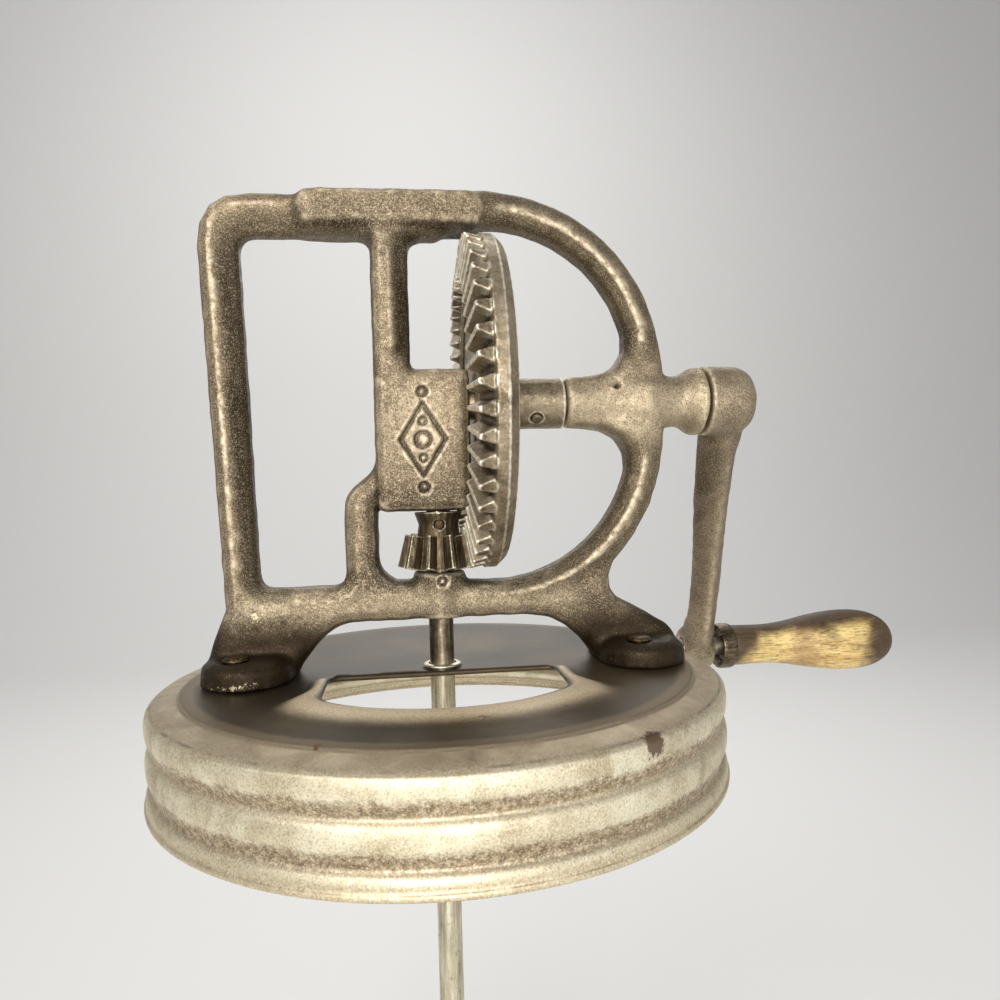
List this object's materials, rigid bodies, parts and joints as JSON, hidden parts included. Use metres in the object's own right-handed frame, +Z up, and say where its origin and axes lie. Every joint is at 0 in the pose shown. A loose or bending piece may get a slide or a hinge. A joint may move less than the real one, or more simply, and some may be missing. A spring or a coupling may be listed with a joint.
{
  "type": "butter churn head",
  "caption": "Hand cranked jar churn head: screw lid, cast frame with hand loop, bevel gear pair, crank with wooden grip and rod with crossed dasher boards.",
  "frame": {"origin": "centre of the jar mouth, on the plane where the jar's rim meets the underside of the seal ring", "axes": "+Z up along the dasher rod, +X towards the crank, -Y towards the pouring window at the front"},
  "size_m": [0.1979, 0.1226, 0.3073],
  "materials": {
    "lid_metal": "worn tin plate with rust spots",
    "seal": "matt",
    "bright_steel": "worn",
    "dark_steel": "stained",
    "cast_frame": "worn sand casting",
    "cast_gear": "worn sand casting",
    "turned_wood": "old varnish",
    "board_wood": "bare"
  },
  "bodies": {
    "head": {"lid": "lid_metal", "seal_ring": "seal", "rod_eyelet": "bright_steel", "frame_casting": "cast_frame", "foot_rivet_front_left": "dark_steel", "foot_rivet_back_left": "dark_steel", "foot_rivet_front_right": "dark_steel", "foot_rivet_back_right": "dark_steel"},
    "crank": {"crank_shaft": "bright_steel", "drive_gear": "cast_gear", "gear_pin": "dark_steel", "crank_arm": "cast_frame", "grip_pin": "bright_steel"},
    "grip": {"wooden_grip": "turned_wood", "grip_ferrule": "bright_steel"},
    "dasher": {"pinion": "bright_steel", "pinion_pin": "dark_steel", "dasher_rod": "bright_steel", "dasher_collar": "bright_steel", "collar_pin": "dark_steel", "dasher_board_upper": "board_wood", "dasher_board_lower": "board_wood", "dasher_washer": "bright_steel", "dasher_nut": "bright_steel"}
  },
  "joints": [
    {"name": "crank_turn", "type": "hinge", "parent": "head", "child": "crank", "pos_m": [0.042, 0, 0.06085], "axis": [1, 0, 0], "continuous": true},
    {"name": "grip_spin", "type": "hinge", "parent": "crank", "child": "grip", "pos_m": [0.11, 0.0468, -0.00648], "axis": [1, 0, 0], "continuous": true},
    {"name": "dasher_spin", "type": "hinge", "parent": "head", "child": "dasher", "pos_m": [0, 0, 0.04], "axis": [0, 0, 1], "continuous": true}
  ],
  "couplings": [
    {"joint": "dasher_spin", "follows": "crank_turn", "ratio": 4.6}
  ]
}
